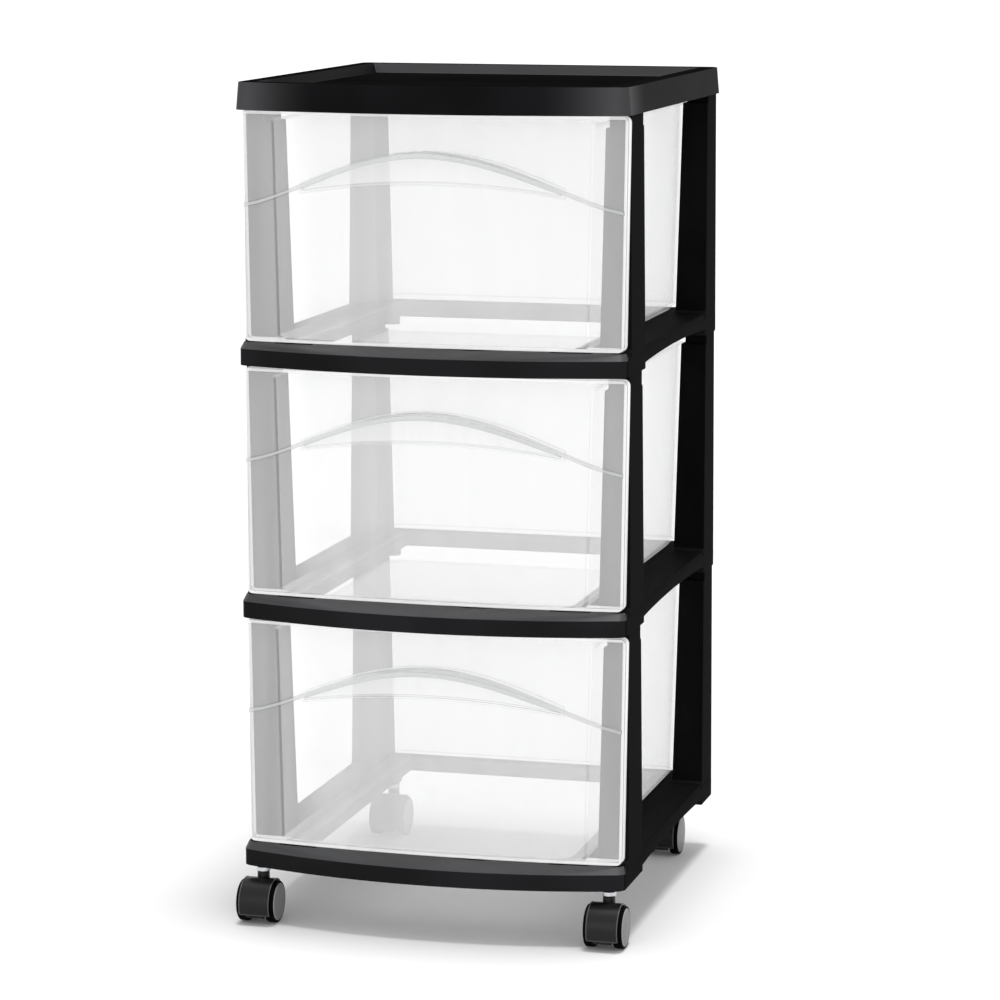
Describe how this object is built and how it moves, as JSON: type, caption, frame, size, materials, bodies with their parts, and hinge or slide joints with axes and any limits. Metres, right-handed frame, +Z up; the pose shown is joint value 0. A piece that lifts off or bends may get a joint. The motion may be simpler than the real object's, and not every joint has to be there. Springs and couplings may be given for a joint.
{
  "type": "plastic drawer tower",
  "caption": "Rolling drawer tower: stacked black frames with tapered posts, milky clear drawers with bowed fronts and arched pulls, a tray top and swivel casters.",
  "frame": {"origin": "on the floor, below the middle of the tower's bounding box", "axes": "+X to the right seen from the front, -Y the way the drawers pull out, +Z up"},
  "size_m": [0.3234, 0.366, 0.6815],
  "materials": {
    "frame_plastic": "satin black",
    "drawer_plastic": "milky clear, smooth",
    "plated_steel": "zinc plated, shiny",
    "caster_plastic": "satin black",
    "cap_plastic": "satin grey"
  },
  "bodies": {
    "tower": {"top_tray": "frame_plastic", "lower_frame": "frame_plastic", "middle_frame": "frame_plastic", "upper_frame": "frame_plastic", "front_left_stem": "plated_steel", "front_left_grip_ring": "plated_steel", "front_right_stem": "plated_steel", "front_right_grip_ring": "plated_steel", "rear_left_stem": "plated_steel", "rear_left_grip_ring": "plated_steel", "rear_right_stem": "plated_steel", "rear_right_grip_ring": "plated_steel"},
    "lower_drawer_body": {"lower_drawer": "drawer_plastic"},
    "middle_drawer_body": {"middle_drawer": "drawer_plastic"},
    "upper_drawer_body": {"upper_drawer": "drawer_plastic"},
    "front_left_swivel": {"front_left_hood": "caster_plastic", "front_left_axle": "plated_steel"},
    "front_left_left_roller": {"front_left_left_wheel": "caster_plastic", "front_left_left_cap": "cap_plastic"},
    "front_left_right_roller": {"front_left_right_wheel": "caster_plastic", "front_left_right_cap": "cap_plastic"},
    "front_right_swivel": {"front_right_hood": "caster_plastic", "front_right_axle": "plated_steel"},
    "front_right_left_roller": {"front_right_left_wheel": "caster_plastic", "front_right_left_cap": "cap_plastic"},
    "front_right_right_roller": {"front_right_right_wheel": "caster_plastic", "front_right_right_cap": "cap_plastic"},
    "rear_left_swivel": {"rear_left_hood": "caster_plastic", "rear_left_axle": "plated_steel"},
    "rear_left_left_roller": {"rear_left_left_wheel": "caster_plastic", "rear_left_left_cap": "cap_plastic"},
    "rear_left_right_roller": {"rear_left_right_wheel": "caster_plastic", "rear_left_right_cap": "cap_plastic"},
    "rear_right_swivel": {"rear_right_hood": "caster_plastic", "rear_right_axle": "plated_steel"},
    "rear_right_left_roller": {"rear_right_left_wheel": "caster_plastic", "rear_right_left_cap": "cap_plastic"},
    "rear_right_right_roller": {"rear_right_right_wheel": "caster_plastic", "rear_right_right_cap": "cap_plastic"}
  },
  "joints": [
    {"name": "lower_drawer_slide", "type": "slide", "parent": "tower", "child": "lower_drawer_body", "axis": [0, -1, 0], "range_m": [0, 0.26]},
    {"name": "middle_drawer_slide", "type": "slide", "parent": "tower", "child": "middle_drawer_body", "axis": [0, -1, 0], "range_m": [0, 0.26]},
    {"name": "upper_drawer_slide", "type": "slide", "parent": "tower", "child": "upper_drawer_body", "axis": [0, -1, 0], "range_m": [0, 0.26]},
    {"name": "front_left_caster_swivel", "type": "hinge", "parent": "tower", "child": "front_left_swivel", "pos_m": [-0.145, -0.1485, 0.04], "axis": [0, 0, 1], "continuous": true},
    {"name": "front_left_left_wheel_spin", "type": "hinge", "parent": "front_left_swivel", "child": "front_left_left_roller", "pos_m": [-0.145, -0.1565, 0.017], "axis": [1, 0, 0], "continuous": true},
    {"name": "front_left_right_wheel_spin", "type": "hinge", "parent": "front_left_swivel", "child": "front_left_right_roller", "pos_m": [-0.145, -0.1565, 0.017], "axis": [1, 0, 0], "continuous": true},
    {"name": "front_right_caster_swivel", "type": "hinge", "parent": "tower", "child": "front_right_swivel", "pos_m": [0.145, -0.1485, 0.04], "axis": [0, 0, 1], "continuous": true},
    {"name": "front_right_left_wheel_spin", "type": "hinge", "parent": "front_right_swivel", "child": "front_right_left_roller", "pos_m": [0.145, -0.1565, 0.017], "axis": [1, 0, 0], "continuous": true},
    {"name": "front_right_right_wheel_spin", "type": "hinge", "parent": "front_right_swivel", "child": "front_right_right_roller", "pos_m": [0.145, -0.1565, 0.017], "axis": [1, 0, 0], "continuous": true},
    {"name": "rear_left_caster_swivel", "type": "hinge", "parent": "tower", "child": "rear_left_swivel", "pos_m": [-0.124, 0.1485, 0.04], "axis": [0, 0, 1], "continuous": true},
    {"name": "rear_left_left_wheel_spin", "type": "hinge", "parent": "rear_left_swivel", "child": "rear_left_left_roller", "pos_m": [-0.124, 0.1405, 0.017], "axis": [1, 0, 0], "continuous": true},
    {"name": "rear_left_right_wheel_spin", "type": "hinge", "parent": "rear_left_swivel", "child": "rear_left_right_roller", "pos_m": [-0.124, 0.1405, 0.017], "axis": [1, 0, 0], "continuous": true},
    {"name": "rear_right_caster_swivel", "type": "hinge", "parent": "tower", "child": "rear_right_swivel", "pos_m": [0.124, 0.1485, 0.04], "axis": [0, 0, 1], "continuous": true},
    {"name": "rear_right_left_wheel_spin", "type": "hinge", "parent": "rear_right_swivel", "child": "rear_right_left_roller", "pos_m": [0.124, 0.1405, 0.017], "axis": [1, 0, 0], "continuous": true},
    {"name": "rear_right_right_wheel_spin", "type": "hinge", "parent": "rear_right_swivel", "child": "rear_right_right_roller", "pos_m": [0.124, 0.1405, 0.017], "axis": [1, 0, 0], "continuous": true}
  ]
}
